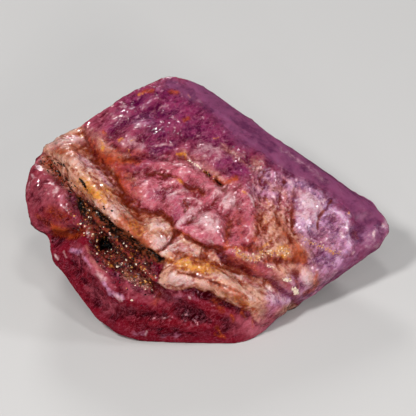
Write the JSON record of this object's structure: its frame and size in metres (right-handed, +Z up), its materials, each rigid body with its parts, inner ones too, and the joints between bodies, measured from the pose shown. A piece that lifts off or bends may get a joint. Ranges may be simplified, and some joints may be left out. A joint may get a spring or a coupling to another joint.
{
  "type": "raw ruby crystal",
  "caption": "Raw ruby crystal: a broken, waterworn stone with a flat crystal face and a stained ledge, resting on a flat face for display or study.",
  "frame": {"origin": "middle of the stone's bounding box in plan, at the level of the flat face it rests on", "axes": "+X along the longest extent, towards the pointed tip; +Z up; the broken front with the ledge faces -Y and up, and the flat crystal faces are at the back"},
  "size_m": [0.0368, 0.0224, 0.0187],
  "materials": {
    "ruby": "frosted and waxy, clear within, with brown stain in the grooves",
    "grains": "dull black and rust-brown mineral grains"
  },
  "bodies": {
    "root": {"ruby_crystal": "ruby"}
  },
  "joints": []
}
